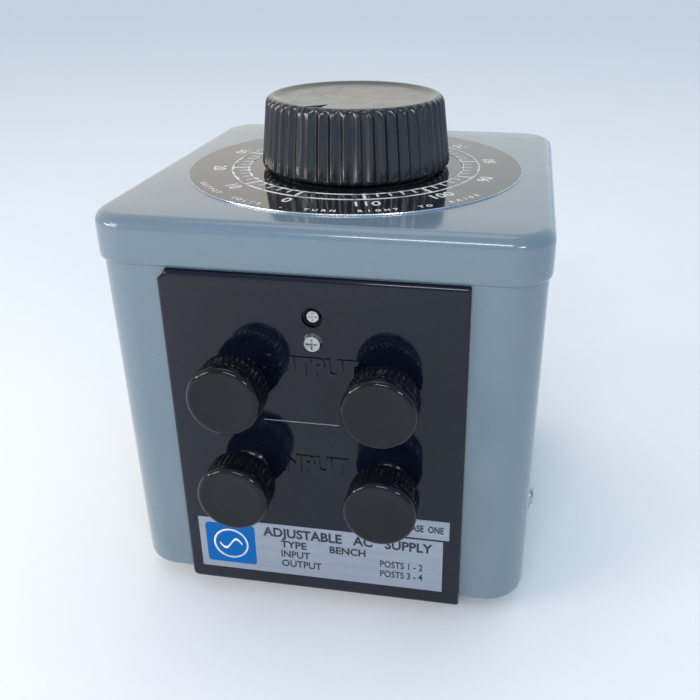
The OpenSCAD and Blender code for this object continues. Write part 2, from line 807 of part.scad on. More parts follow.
case_body();
top_lid();
dial_plate();
terminal_panel();
rating_label();
origin_label();
panel_screw();
recessed_screw();
panel_nuts();
earth_screw();
earth_washer();
earth_nut();
rubber_feet();
feet_screws();
feet_nuts();
base_plate();
lid_pillars();
lid_screws();
toroid_core();
core_insulation();
winding();
lower_pad();
upper_pad();
centre_hub();
hub_screws();
upper_bush();
lower_bush();
stop_pin();
takeoff_block();
takeoff_contact();
post_studs();
post_collars();
post_bushes();
post_nuts();
solder_tags();
internal_leads();
knob();
knob_insert();
knob_setscrew();
shaft();
shaft_circlip();
thrust_washer();
brush_arm();
arm_setscrew();
slip_ring();
brush_holder();
carbon_brush();
brush_spring();
output_left_washer();
output_right_washer();
input_left_washer();
input_right_washer();
output_left_insert();
output_right_insert();
input_left_insert();
input_right_insert();
output_left_cap();
output_right_cap();
input_left_cap();
input_right_cap();
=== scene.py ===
"""Looks of the bench variable autotransformer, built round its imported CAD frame. Metres, +Z up."""

import json
import math

import bmesh
import bpy
from mathutils import Matrix, Vector


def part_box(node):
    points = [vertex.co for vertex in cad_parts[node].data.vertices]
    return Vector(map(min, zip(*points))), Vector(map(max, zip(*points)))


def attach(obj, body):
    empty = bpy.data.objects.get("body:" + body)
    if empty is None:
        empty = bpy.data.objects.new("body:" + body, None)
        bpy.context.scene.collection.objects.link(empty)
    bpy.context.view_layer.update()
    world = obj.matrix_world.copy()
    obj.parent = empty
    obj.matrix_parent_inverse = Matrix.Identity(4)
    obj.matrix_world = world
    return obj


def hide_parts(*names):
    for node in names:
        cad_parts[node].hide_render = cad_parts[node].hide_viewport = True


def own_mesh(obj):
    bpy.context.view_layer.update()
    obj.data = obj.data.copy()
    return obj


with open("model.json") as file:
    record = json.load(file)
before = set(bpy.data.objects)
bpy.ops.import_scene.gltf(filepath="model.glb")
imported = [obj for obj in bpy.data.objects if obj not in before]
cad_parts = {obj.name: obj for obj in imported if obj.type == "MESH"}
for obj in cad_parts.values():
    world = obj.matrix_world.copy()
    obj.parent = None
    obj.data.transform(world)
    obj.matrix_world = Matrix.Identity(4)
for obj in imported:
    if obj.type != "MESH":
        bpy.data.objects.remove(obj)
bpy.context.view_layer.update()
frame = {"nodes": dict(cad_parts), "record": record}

MM = 0.001
TAU = 2 * math.pi


# Where things are, all from the frame -------------------------------------------------------

def span(node):
    """A node's low and high corners."""
    low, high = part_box(node)
    return low, high


lid_low, lid_high = span("top_lid")
case_low, case_high = span("case_body")
panel_low, panel_high = span("terminal_panel")
dial_low, dial_high = span("dial_plate")
knob_low, knob_high = span("knob")
shaft_low, shaft_high = span("shaft")
SHAFT = Vector(((shaft_low.x + shaft_high.x) / 2, (shaft_low.y + shaft_high.y) / 2, 0))
LID_HALF = (lid_high.x - lid_low.x) / 2
BODY_HALF = (case_high.x - case_low.x) / 2
PANEL_FACE = panel_low.y
ZERO_ANGLE = math.radians(-105)     # direction of 0 on the dial, from +X
REST_ANGLE = math.radians(-111)     # direction of the knob's pointer when stored
SWEEP = math.radians(330)           # clockwise travel of the knob, seen from above


# Mesh helpers -------------------------------------------------------------------------------

def add_piece(name, verts, faces, body, material, slot, replaces=(), sharp=35.0):
    """A mesh object from lists of points and faces, shaded smooth except at sharp edges."""
    mesh = bpy.data.meshes.new(name)
    mesh.from_pydata([tuple(v) for v in verts], [], [tuple(f) for f in faces])
    return finish_piece(name, mesh, body, material, replaces, sharp)


def finish_piece(name, mesh, body, material, replaces, sharp):
    """Cleans a mesh, shades it, gives it its material and lets it ride on a CAD body."""
    bm = bmesh.new()
    bm.from_mesh(mesh)
    bmesh.ops.remove_doubles(bm, verts=bm.verts, dist=1e-7)
    bmesh.ops.recalc_face_normals(bm, faces=bm.faces)
    limit = math.radians(sharp)
    for face in bm.faces:
        face.smooth = True
    for edge in bm.edges:
        if len(edge.link_faces) == 2 and edge.calc_face_angle(0.0) > limit:
            edge.smooth = False
    bm.to_mesh(mesh)
    bm.free()
    obj = bpy.data.objects.new(name, mesh)
    bpy.context.scene.collection.objects.link(obj)
    obj.data.materials.append(material)
    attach(obj, body)
    if replaces:
        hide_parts(*replaces)
    return obj


def loft(rings, close_start=True, loop=False):
    """Points and faces of a skin over rings with equal numbers of points, capped or joined in a loop."""
    n = len(rings[0])
    verts = [Vector(p) for ring in rings for p in ring]
    faces = []
    count = len(rings)
    for i in range(count if loop else count - 1):
        a, b = i * n, ((i + 1) % count) * n
        for k in range(n):
            m = (k + 1) % n
            faces.append((a + k, a + m, b + m, b + k))
    if not loop and close_start:
        faces.append(tuple(range(n - 1, -1, -1)))
    if not loop:
        faces.append(tuple(range((count - 1) * n, count * n)))
    return verts, faces


def lathe(profile, steps, centre, turn=None):
    """A ring turned about Z through centre: profile is its closed section, in (radius, height) pairs."""
    rings = []
    for k in range(steps):
        a = TAU * k / steps
        rings.append([Vector((r * math.cos(a), r * math.sin(a), z)) for r, z in profile])
    verts, faces = loft(rings, loop=True)
    n = len(profile)
    for k in range(steps):      # the section's last side is laid twice, so its edges are never marked sharp
        a, b = k * n, ((k + 1) % steps) * n
        faces.append((a + n - 1, a, b, b + n - 1))
    matrix = Matrix.Translation(Vector(centre)) @ (turn or Matrix.Identity(4))
    return [matrix @ v for v in verts], faces


def rounded_outline(half, radius, z):
    """Points round a square with round corners about the shaft, anticlockwise."""
    arc = 20
    points = []
    for quarter in range(4):
        corner = Vector((half - radius, half - radius, 0))
        for k in range(arc + 1):
            a = math.pi / 2 * k / arc
            p = corner + Vector((radius * math.cos(a), radius * math.sin(a), 0))
            points.append(Matrix.Rotation(quarter * math.pi / 2, 3, "Z") @ p)
    return [Vector((p.x + SHAFT.x, p.y + SHAFT.y, z)) for p in points]


def join_parts(parts):
    """One list of points and faces from several."""
    verts, faces = [], []
    for part_verts, part_faces in parts:
        start = len(verts)
        verts.extend(part_verts)
        faces.extend(tuple(i + start for i in f) for f in part_faces)
    return verts, faces


def block(low, high):
    """Points and faces of a box."""
    x0, y0, z0 = low
    x1, y1, z1 = high
    bottom = [Vector(p) for p in ((x0, y0, z0), (x1, y0, z0), (x1, y1, z0), (x0, y1, z0))]
    top = [Vector((p.x, p.y, z1)) for p in bottom]
    return loft([bottom, top])


FACE_TURN = Matrix.Rotation(math.radians(90), 4, "X")   # a lathe's +Z turned to look out of the front


# Material helpers -----------------------------------------------------------------------------

class Nodes:
    """A short way to build one node material."""

    def __init__(self, name, **shader):
        self.material = bpy.data.materials.new(name)
        self.material.use_nodes = True
        self.tree = self.material.node_tree
        self.shader = self.tree.nodes["Principled BSDF"]
        for key, value in shader.items():
            self.shader.inputs[key.replace("_", " ")].default_value = value
        self.coordinates = self.tree.nodes.new("ShaderNodeTexCoord").outputs["Object"]

    def node(self, kind, inputs=None, **settings):
        """Any node: its settings first, then its inputs by name or number."""
        made = self.tree.nodes.new(kind)
        for key, value in settings.items():
            setattr(made, key, value)
        for key, value in (inputs or {}).items():
            self.feed(made.inputs[key], value)
        return made

    def feed(self, socket, value):
        """Gives a socket another one's output, or a plain value."""
        if isinstance(value, bpy.types.NodeSocket):
            self.tree.links.new(value, socket)
        else:
            socket.default_value = value

    def link(self, output, key):
        """Leads an output into the shader."""
        self.tree.links.new(output, self.shader.inputs[key])

    def scaled(self, scale):
        """Object coordinates stretched by a factor along each axis."""
        return self.node("ShaderNodeMapping", {"Vector": self.coordinates, "Scale": scale}).outputs[0]

    def noise(self, scale, detail=4.0, rough=0.55, vector=None, distortion=0.0):
        made = self.node("ShaderNodeTexNoise", {
            "Vector": vector or self.coordinates, "Scale": scale, "Detail": detail,
            "Roughness": rough, "Distortion": distortion})
        return made.outputs["Fac"]

    def ramp(self, value, low, high, to_low, to_high):
        """A value taken from one range to another."""
        made = self.node("ShaderNodeMapRange", {
            "Value": value, "From Min": low, "From Max": high, "To Min": to_low, "To Max": to_high})
        return made.outputs[0]

    def mix(self, factor, a, b):
        """A colour between two, each a socket or red, green and blue."""
        made = self.node("ShaderNodeMix", {0: factor}, data_type="RGBA")
        for index, colour in ((6, a), (7, b)):
            self.feed(made.inputs[index], (*colour, 1) if isinstance(colour, tuple) else colour)
        return made.outputs[2]

    def bump(self, height, distance, strength=1.0, after=None):
        made = self.node("ShaderNodeBump", {
            "Height": height, "Distance": distance, "Strength": strength})
        if after is not None:
            self.tree.links.new(after, made.inputs["Normal"])
        return made.outputs[0]

    def math(self, operation, a, b):
        return self.node("ShaderNodeMath", {0: a, 1: b}, operation=operation).outputs[0]


def scratches(n, scale, width):
    """Thin random lines: 1 on a scratch, 0 elsewhere."""
    warped = n.noise(scale * 0.15, 2.0, vector=n.scaled((1.0, 0.25, 0.6)))
    wave = n.node("ShaderNodeTexVoronoi", {
        "Vector": n.scaled((1.0, 0.12, 0.35)), "Scale": scale}, feature="DISTANCE_TO_EDGE")
    line = n.ramp(wave.outputs["Distance"], 0.0, width, 1.0, 0.0)
    some = n.ramp(warped, 0.52, 0.62, 0.0, 1.0)
    return n.math("MULTIPLY", line, some)


def paint(name, base, shade):
    """Gloss enamel over cast metal: faint orange peel, soft colour drift, fine darker specks all over."""
    n = Nodes(name, Coat_Weight=0.35, Coat_Roughness=0.05)
    drift = n.ramp(n.noise(9.0, 3.0), 0.35, 0.65, 0.0, 1.0)
    speck = n.ramp(n.noise(900.0, 2.0), 0.66, 0.74, 0.0, 0.5)
    colour = n.mix(drift, base, shade)
    colour = n.mix(speck, colour, tuple(c * 0.82 for c in base))
    n.link(colour, "Base Color")
    n.link(n.ramp(n.noise(45.0, 5.0), 0.3, 0.7, 0.13, 0.24), "Roughness")
    peel = n.bump(n.noise(420.0, 3.0, 0.45), 0.000012)
    waves = n.bump(n.noise(38.0, 1.0), 0.00006, after=peel)
    n.link(waves, "Normal")
    return n.material


def gloss_black(name, base, rough, ripple=0.00002, ior=1.5):
    """Polished black moulding: dust, smears in the gloss and hairline scratches."""
    n = Nodes(name, IOR=ior)
    dust = n.ramp(n.noise(1400.0, 2.0, 0.7), 0.68, 0.76, 0.0, 0.25)
    cloud = n.ramp(n.noise(26.0, 5.0), 0.4, 0.7, 0.0, 1.0)
    colour = n.mix(cloud, base, tuple(c * 1.5 for c in base))
    n.link(n.mix(dust, colour, (0.12, 0.12, 0.13)), "Base Color")
    smear = n.noise(70.0, 6.0, 0.62, vector=n.scaled((1.0, 1.0, 0.4)), distortion=0.6)
    n.link(n.ramp(smear, 0.35, 0.75, rough * 0.7, rough * 1.7), "Roughness")
    flow = n.bump(n.noise(30.0, 1.0), ripple)
    n.link(n.bump(scratches(n, 90.0, 0.003), -0.000006, 0.6, after=flow), "Normal")
    return n.material


def moulded_black(name, base, rough, ior):
    """Phenolic moulding with a fine grain, paler where hands and handling dull it."""
    n = Nodes(name, IOR=ior)
    cloud = n.ramp(n.noise(60.0, 5.0), 0.35, 0.7, 0.0, 1.0)
    n.link(n.mix(cloud, base, tuple(c * 1.7 for c in base)), "Base Color")
    n.link(n.ramp(n.noise(150.0, 5.0, 0.6), 0.3, 0.7, rough * 0.75, rough * 1.4), "Roughness")
    grain = n.bump(n.noise(2200.0, 3.0), 0.000002)
    n.link(n.bump(n.noise(90.0, 2.0), 0.000008, after=grain), "Normal")
    return n.material


def metal(name, base, dark, rough, grain=(1.0, 1.0, 1.0)):
    """Machined or plated metal: fine tool marks along one way, stains and uneven polish."""
    n = Nodes(name, Metallic=1.0)
    stain = n.ramp(n.noise(220.0, 5.0, 0.6), 0.42, 0.7, 0.0, 1.0)
    n.link(n.mix(stain, base, dark), "Base Color")
    marks = n.noise(1500.0, 3.0, vector=n.scaled(grain))
    n.link(n.ramp(marks, 0.3, 0.7, rough * 0.7, rough * 1.4), "Roughness")
    n.link(n.bump(marks, 0.000006), "Normal")
    return n.material


def cast_metal(name, base, dark):
    """Sand-cast aluminium: grainy skin, darker pits."""
    n = Nodes(name, Metallic=1.0)
    skin = n.noise(700.0, 6.0, 0.65)
    n.link(n.mix(n.ramp(skin, 0.35, 0.7, 0.0, 1.0), base, dark), "Base Color")
    n.link(n.ramp(n.noise(200.0, 4.0), 0.3, 0.7, 0.38, 0.6), "Roughness")
    n.link(n.bump(skin, 0.00006), "Normal")
    return n.material


def dull(name, base, shade, rough, scale=300.0, depth=0.00002, grain=(1.0, 1.0, 1.0)):
    """Board, rubber, carbon, nylon or sleeving: mottled colour and a fine surface texture."""
    n = Nodes(name)
    mottle = n.noise(scale, 5.0, 0.6, vector=n.scaled(grain))
    n.link(n.mix(n.ramp(mottle, 0.35, 0.68, 0.0, 1.0), base, shade), "Base Color")
    n.link(n.ramp(n.noise(scale * 0.4, 4.0), 0.3, 0.7, rough * 0.85, min(rough * 1.2, 1.0)), "Roughness")
    n.link(n.bump(mottle, depth), "Normal")
    return n.material


def foil(name, base):
    """Printed aluminium foil label: brushed along its length, a little worn."""
    n = Nodes(name, Metallic=0.55)
    brush = n.noise(900.0, 4.0, vector=n.scaled((0.05, 1.0, 1.0)))
    worn = n.ramp(n.noise(140.0, 5.0), 0.5, 0.72, 0.0, 1.0)
    colour = n.mix(n.ramp(brush, 0.3, 0.7, 0.0, 1.0), base, tuple(c * 0.88 for c in base))
    n.link(n.mix(worn, colour, tuple(c * 0.9 for c in base)), "Base Color")
    n.link(n.ramp(brush, 0.3, 0.7, 0.3, 0.5), "Roughness")
    n.link(n.bump(brush, 0.000004), "Normal")
    return n.material


def ink(name, base, rough=0.45, ior=1.5):
    """Screen-printed ink, thin in places."""
    n = Nodes(name, IOR=ior)
    thin = n.ramp(n.noise(800.0, 4.0, 0.7), 0.5, 0.75, 0.0, 0.5)
    n.link(n.mix(thin, base, tuple(c * 0.6 + 0.02 for c in base)), "Base Color")
    n.link(n.ramp(n.noise(300.0, 3.0), 0.3, 0.7, rough * 0.8, rough * 1.3), "Roughness")
    n.link(n.bump(n.noise(1200.0, 2.0), 0.000004), "Normal")
    return n.material


MATERIALS = {
    "case_paint": paint("case_paint", (0.144, 0.204, 0.250), (0.160, 0.211, 0.247)),
    "gloss_black": gloss_black("gloss_black", (0.003, 0.005, 0.012), 0.09, ior=1.40),
    "dial_black": gloss_black("dial_black", (0.010, 0.010, 0.012), 0.07, 0.000006, 2.0),
    "knob_black": moulded_black("knob_black", (0.006, 0.006, 0.009), 0.18, 1.64),
    "cap_black": moulded_black("cap_black", (0.005, 0.005, 0.008), 0.08, 1.36),
    "label_silver": foil("label_silver", (0.35, 0.39, 0.46)),
    "print_white": ink("print_white", (0.80, 0.80, 0.78)),
    "print_dark": ink("print_dark", (0.012, 0.014, 0.024)),
    "print_blue": ink("print_blue", (0.002, 0.115, 0.38), 0.5, 1.2),
    "print_grey": ink("print_grey", (0.30, 0.30, 0.30)),
    "cut_aluminium": metal("cut_aluminium", (0.86, 0.88, 0.92), (0.70, 0.72, 0.76), 0.22),
    "zinc_steel": metal("zinc_steel", (0.52, 0.53, 0.54), (0.30, 0.30, 0.30), 0.30, (1.0, 0.3, 1.0)),
    "dark_steel": metal("dark_steel", (0.10, 0.10, 0.11), (0.05, 0.05, 0.05), 0.4),
    "core_steel": metal("core_steel", (0.32, 0.33, 0.35), (0.16, 0.15, 0.15), 0.4, (0.1, 0.1, 2.0)),
    "brass": metal("brass", (0.80, 0.58, 0.25), (0.55, 0.36, 0.14), 0.26, (0.4, 1.6, 0.4)),
    "bronze": metal("bronze", (0.60, 0.40, 0.20), (0.35, 0.22, 0.10), 0.45),
    "nickel": metal("nickel", (0.76, 0.74, 0.70), (0.52, 0.50, 0.46), 0.2),
    "cast_aluminium": cast_metal("cast_aluminium", (0.62, 0.63, 0.65), (0.42, 0.43, 0.45)),
    "enamelled_copper": metal("enamelled_copper", (0.62, 0.25, 0.10), (0.36, 0.12, 0.05), 0.3),
    "insulation": dull("insulation", (0.62, 0.50, 0.28), (0.50, 0.38, 0.20), 0.6, 260.0),
    "phenolic": dull("phenolic", (0.24, 0.11, 0.05), (0.15, 0.065, 0.03), 0.45, 180.0, 0.00001,
                     (0.3, 1.6, 1.0)),
    "black_rubber": dull("black_rubber", (0.018, 0.018, 0.018), (0.035, 0.034, 0.032), 0.8, 900.0, 0.00004),
    "fibre_rod": dull("fibre_rod", (0.58, 0.53, 0.36), (0.42, 0.38, 0.24), 0.5, 400.0, 0.00001,
                      (1.0, 1.0, 0.1)),
    "nylon": dull("nylon", (0.72, 0.69, 0.62), (0.62, 0.58, 0.50), 0.4, 200.0, 0.000008),
    "carbon": dull("carbon", (0.03, 0.03, 0.032), (0.06, 0.06, 0.062), 0.5, 1500.0, 0.00001),
    "lead_red": dull("lead_red", (0.36, 0.02, 0.015), (0.28, 0.015, 0.01), 0.4, 350.0, 0.000008),
}


# Case -----------------------------------------------------------------------------------------

def case_shell():
    """The case: outside up from its underside, over the rim and down to the floor inside."""
    draft = 0.7 * MM            # how much each side draws in towards the foot
    edge = 4 * MM               # rounding of the lower edges
    corner = 12.6 * MM          # rounding of the upright edges
    wall = 2 * MM
    floor_round = 1.5 * MM      # rounding between the walls and the floor inside
    low, top = case_low.z, case_high.z
    shoulder = lid_low.z - 0.05 * MM
    foot_half = BODY_HALF - draft
    rings = []
    for inset in (45, 20):      # rings across the flat underside
        rings.append(rounded_outline(foot_half - inset * MM, corner - 3.5 * MM, low))
    for k in range(9):
        a = math.pi / 2 * k / 8
        inset = edge * (1 - math.sin(a))
        rings.append(rounded_outline(foot_half - inset, corner - inset, low + edge * (1 - math.cos(a))))
    for k in range(1, 10):
        t = k / 9
        z = low + edge + (shoulder - low - edge) * t
        rings.append(rounded_outline(foot_half + draft * t, corner, z))
    rim_half, rim_r = BODY_HALF - 0.4 * MM, corner - 0.4 * MM
    rings.append(rounded_outline(rim_half, rim_r, shoulder + 0.02 * MM))
    rings.append(rounded_outline(rim_half, rim_r, top - 0.2 * MM))
    rings.append(rounded_outline(rim_half - 0.2 * MM, rim_r - 0.2 * MM, top))
    rings.append(rounded_outline(rim_half - wall, rim_r - wall, top))
    rings.append(rounded_outline(foot_half - wall, corner - wall, low + wall + floor_round))
    rings.append(rounded_outline(foot_half - wall - floor_round, corner - wall - floor_round, low + wall))
    verts, faces = loft(rings)
    add_piece("case_shell", verts, faces, "case", MATERIALS["case_paint"], "case_paint", ["case_body"])


def lid_shell():
    """The lid: from the skirt's inside, round its lower edge, up the side and over to the shaft hole."""
    half, corner = LID_HALF, 12.8 * MM
    low, top = lid_low.z, lid_high.z
    inner = BODY_HALF - 0.3 * MM
    inner_r = 12.3 * MM
    ceiling = top - 2.2 * MM
    edge = 4.0 * MM
    rings = [rounded_outline(inner, inner_r, ceiling), rounded_outline(inner, inner_r, low)]
    lip = ((0.8, 0.0), (0.5, 0.12), (0.18, 0.5), (0.0, 1.2))
    for inset, rise in lip:
        rings.append(rounded_outline(half - inset * MM, corner - inset * MM, low + rise * MM))
    for k in range(1, 5):
        z = low + 1.2 * MM + (top - edge - low - 1.2 * MM) * k / 4
        rings.append(rounded_outline(half, corner, z))
    for k in range(1, 11):
        a = math.pi / 2 * k / 10
        inset = edge * (1 - math.cos(a))
        rings.append(rounded_outline(half - inset, corner - inset, top - edge * (1 - math.sin(a))))
    outer = rings[-1]
    hole = 8 * MM
    circle = [SHAFT + (Vector((p.x, p.y, 0)) - SHAFT).normalized() * hole + Vector((0, 0, top))
              for p in outer]
    for k in range(1, 7):
        t = k / 6
        rings.append([p.lerp(c, t) for p, c in zip(outer, circle)])
    rings.append([Vector((p.x, p.y, ceiling)) for p in circle])
    verts, faces = loft(rings, loop=True)
    add_piece("lid_shell", verts, faces, "case", MATERIALS["case_paint"], "case_paint", ["top_lid"])


def dial_disc():
    """The dial plate, and the bare metal that shows where its edge is cut."""
    r = (dial_high.x - dial_low.x) / 2
    z0, z1 = dial_low.z, dial_high.z
    e = 0.15 * MM               # bevel of the plate's edges
    hole = 8 * MM
    profile = [(hole, z0), (r - e, z0), (r - e, z1 - e), (r - 2 * e, z1), (hole + e, z1), (hole, z1 - e)]
    verts, faces = lathe(profile, 192, SHAFT)
    add_piece("dial_disc", verts, faces, "case", MATERIALS["dial_black"], "gloss_black", ["dial_plate"])
    profile = [(r - 1.2 * e, z0), (r - e * 0.2, z0), (r, z0 + e * 0.4), (r, z1 - e * 1.6),
               (r - e * 0.4, z1 - e * 0.7), (r - 1.2 * e, z1 - e * 0.5)]
    verts, faces = lathe(profile, 192, SHAFT)
    add_piece("dial_rim", verts, faces, "case", MATERIALS["cut_aluminium"], "gloss_black")


# Print ------------------------------------------------------------------------------------------

PRINT_T = 0.05 * MM         # thickness of all print
PRINT_BOLD = 0.00006        # how far the dial's letters are thickened
DIAL_FULL = 110             # highest number on the dial


def flat_shape(outline, z):
    """A thin raised shape from a flat outline."""
    low = [Vector((p[0], p[1], z)) for p in outline]
    return loft([low, [p + Vector((0, 0, PRINT_T)) for p in low]])


def flat_ring(r_in, r_out, z):
    """A thin printed ring about the shaft."""
    return lathe([(r_in, z), (r_out, z), (r_out, z + PRINT_T), (r_in, z + PRINT_T)], 160, SHAFT)


def text_mesh(text, size, thickness, bold):
    """Generic lettering as points and faces, lying flat with its middle at the origin."""
    curve = bpy.data.curves.new("lettering", "FONT")
    curve.body = text
    curve.size = size
    curve.extrude = thickness / 2
    curve.offset = bold
    curve.align_x = "CENTER"
    curve.align_y = "CENTER"
    curve.resolution_u = 3
    holder = bpy.data.objects.new("lettering", curve)
    bpy.context.scene.collection.objects.link(holder)
    bpy.context.view_layer.update()
    mesh = bpy.data.meshes.new_from_object(holder.evaluated_get(bpy.context.evaluated_depsgraph_get()))
    verts = [v.co.copy() + Vector((0, 0, thickness / 2)) for v in mesh.vertices]
    faces = [tuple(p.vertices) for p in mesh.polygons]
    bpy.data.objects.remove(holder)
    bpy.data.curves.remove(curve)
    bpy.data.meshes.remove(mesh)
    return verts, faces


def placed(part, matrix):
    """Points and faces moved by a matrix."""
    verts, faces = part
    return [matrix @ v for v in verts], faces


def dial_angle(value):
    """Direction of a dial value, from +X."""
    return ZERO_ANGLE - SWEEP * value / DIAL_FULL


def dial_lettering(text, size, a, r):
    """Letters on the dial at a direction and a radius, their tops towards the shaft."""
    centre = SHAFT + Vector((math.cos(a), math.sin(a), 0)) * r + Vector((0, 0, dial_high.z))
    turn = Matrix.Translation(centre) @ Matrix.Rotation(a + math.pi / 2, 4, "Z")
    return placed(text_mesh(text, size, PRINT_T, PRINT_BOLD), turn)


def dial_print():
    """White scale: two rings, a tick every 2, a longer one and a number every 10, small words in front."""
    z = dial_high.z
    inner, outer = 37.0 * MM, 42.5 * MM
    ring_half = 0.36 * MM
    parts = [flat_ring(r - ring_half, r + ring_half, z) for r in (inner, outer)]
    for value in range(0, DIAL_FULL + 1, 2):
        a = dial_angle(value)
        major = value % 10 == 0
        end, half = (outer, 0.5 * MM) if major else (inner + 3.2 * MM, 0.3 * MM)
        out = Vector((math.cos(a), math.sin(a), 0))
        side = Vector((-out.y, out.x, 0)) * half
        corners = [SHAFT + out * r + side * way for r, way in ((inner, -1), (end, -1), (end, 1), (inner, 1))]
        parts.append(flat_shape(corners, z + 0.002 * MM))
    number_size, number_r = 6.0 * MM, 47.2 * MM
    for value in range(0, DIAL_FULL + 1, 10):
        parts.append(dial_lettering(str(value), number_size, dial_angle(value), number_r))
    words = "OUTPUT  VOLTS  -  TURN  RIGHT  TO  RAISE"
    word_size, word_r, step = 2.5 * MM, 54.1 * MM, math.radians(2.8)
    for i, letter in enumerate(words):
        if letter != " ":
            a = -math.pi / 2 + (i - (len(words) - 1) / 2) * step
            parts.append(dial_lettering(letter, word_size, a, word_r))
    verts, faces = join_parts(parts)
    add_piece("dial_print", verts, faces, "case", MATERIALS["print_white"], "label_silver")


# Knob -----------------------------------------------------------------------------------------

KNOB_R = (knob_high.x - knob_low.x) / 2     # at the widest, just above the knob's lower edge
KNOB_TAPER = 2.6 * MM                       # how much smaller the radius is at the top
CROWN = ((0.935, 0.12), (0.965, 0.45), (0.985, 0.9), (1.0, 1.7))            # share of height, drawn in by
DISH = ((0.5, 0.02), (1.2, 0.2), (2.2, 0.55), (3.4, 0.85), (4.6, 0.98))     # inwards of the crown, fall


def knob_side(t):
    """Radius of the knob's side at a share of its height."""
    return KNOB_R - KNOB_TAPER * t


def dish_fall(r):
    """How far the middle of the knob's top lies below its crown."""
    return (0.98 + 0.35 * (1 - (r / (KNOB_R - KNOB_TAPER - 6.3 * MM)) ** 2)) * MM


def fluted_knob():
    """The knob: tapered flutes with scooped ends, a rounded crown and a shallow dished top."""
    z0, z1 = knob_low.z, knob_high.z
    height = z1 - z0
    flutes, per = 48, 14        # how many, and points along each
    flute_depth = 1.2 * MM
    steps = flutes * per
    # share of the height, how far out of the tapered side, share of the flutes' depth
    levels = [(0.0, -2.9, 0.0), (0.01, -1.4, 0.1), (0.035, -0.6, 0.5), (0.06, -0.15, 0.85), (0.085, 0.0, 1.0)]
    levels += [(t, 0.0, 1.0) for t in (0.25, 0.4, 0.55, 0.7, 0.84)]
    levels += [(0.9, 0.0, 0.92)]
    levels += [(t, -inset, depth) for (t, inset), depth in zip(CROWN, (0.75, 0.45, 0.18, 0.0))]
    rings = []
    for t, inset, depth in levels:
        ring = []
        base = knob_side(t) + inset * MM
        for k in range(steps):
            turn = TAU * k / per
            bite = (0.5 + 0.5 * math.cos(turn)) ** 0.9 * flute_depth
            if k < per / 2 or k > steps - per / 2:      # the pointer stands here
                bite = 0.0
            a = REST_ANGLE + TAU * k / steps
            r = base - bite * depth
            ring.append(SHAFT + Vector((r * math.cos(a), r * math.sin(a), z0 + height * t)))
        rings.append(ring)

    def plain(r, z):
        """A round ring of points."""
        return [SHAFT + Vector((r * math.cos(REST_ANGLE + TAU * k / steps),
                                r * math.sin(REST_ANGLE + TAU * k / steps), z)) for k in range(steps)]

    top_r = knob_side(1) - 1.7 * MM
    for drop, fall in DISH:
        rings.append(plain(top_r - drop * MM, z1 - fall * MM))
    for share in (0.85, 0.6, 0.35, 0.1):
        r = (top_r - 4.6 * MM) * share
        rings.append(plain(r, z1 - dish_fall(r)))
    under = []
    for r, z in ((KNOB_R - 5.5 * MM, z0 + 0.5 * MM), (KNOB_R - 6.5 * MM, z0 + 2.0 * MM),
                 (9 * MM, z0 + 2.2 * MM), (8.2 * MM, z0 + 0.6 * MM)):
        under.append(plain(r, z))
    rings = list(reversed(under)) + rings
    verts, faces = loft(rings)
    add_piece("fluted_knob", verts, faces, "rotor", MATERIALS["knob_black"], "knob_black", ["knob"], sharp=50)


def knob_pointer():
    """The pointer: a ridge up the knob's side that runs over the crown into a tapering wedge."""
    out = Vector((math.cos(REST_ANGLE), math.sin(REST_ANGLE), 0))
    side = Vector((-out.y, out.x, 0))
    up = Vector((0, 0, 1))
    z0, z1 = knob_low.z, knob_high.z
    height = z1 - z0
    half = 3.1 * MM             # half the ridge's width
    sections = []

    def section(r, z, lift_out, lift_up, right, sunk):
        """Left foot, ridge, right foot and buried heel, round a point on the knob's surface."""
        middle = SHAFT + out * r + up * z
        heel = out * -sunk * lift_out - up * sunk * lift_up
        sections.append([middle - side * half + heel, middle + (out * lift_out + up * lift_up) * 0.45 * MM,
                         middle + side * right + heel, middle + heel * 1.6])

    for t in (0.09, 0.3, 0.5, 0.7, 0.9):
        section(knob_side(t), z0 + height * t, 1.0, 0.0, half, 1.15 * MM)
    for (t, inset), (lift_out, lift_up) in zip(CROWN, ((0.9, 0.1), (0.7, 0.35), (0.4, 0.5), (0.1, 0.35))):
        section(knob_side(t) - inset * MM, z0 + height * t, lift_out, lift_up, half * (1.4 - t), 1.2 * MM)
    start, tip = knob_side(1) - 2.4 * MM, 15.5 * MM
    for k in range(7):
        share = k / 6
        r = start + (tip - start) * share
        z = z1 + 0.1 * MM - share * (dish_fall(tip) + 0.14 * MM)
        middle = SHAFT + out * r + up * z
        wide = 3.0 * MM * (1 - share) + 0.15 * MM
        foot = up * 1.5 * MM
        sections.append([middle - side * wide - up * 0.55 * MM * (1 - share), middle,
                         middle + side * 0.12 * MM - foot, middle - side * wide * 0.5 - foot])
    verts, faces = loft(sections)
    add_piece("knob_pointer", verts, faces, "rotor", MATERIALS["knob_black"], "knob_black", sharp=20)


# Terminal panel -------------------------------------------------------------------------------

def panel_outline(inset, y):
    """The panel's edge drawn in by an inset: upper left corner cut, lower left round, right ones nicked."""
    x0, x1 = panel_low.x + inset, panel_high.x - inset
    z0, z1 = panel_low.z + inset, panel_high.z - inset
    cut = 2.6 * MM
    round_r = 1.6 * MM
    nick = 0.35 * MM
    points = [(x0 + round_r * (1 - math.sin(a)), z0 + round_r * (1 - math.cos(a)))
              for a in (math.pi / 2, math.pi / 3, math.pi / 6, 0.0)]
    points += [(x1 - nick, z0), (x1, z0 + nick), (x1, z1 - nick), (x1 - nick, z1),
               (x0 + cut, z1), (x0, z1 - cut)]
    return [Vector((x, y, z)) for x, z in points]


def screw_centre(node):
    """Middle of a screw's front end."""
    low, high = span(node)
    return Vector(((low.x + high.x) / 2, low.y, (low.z + high.z) / 2))


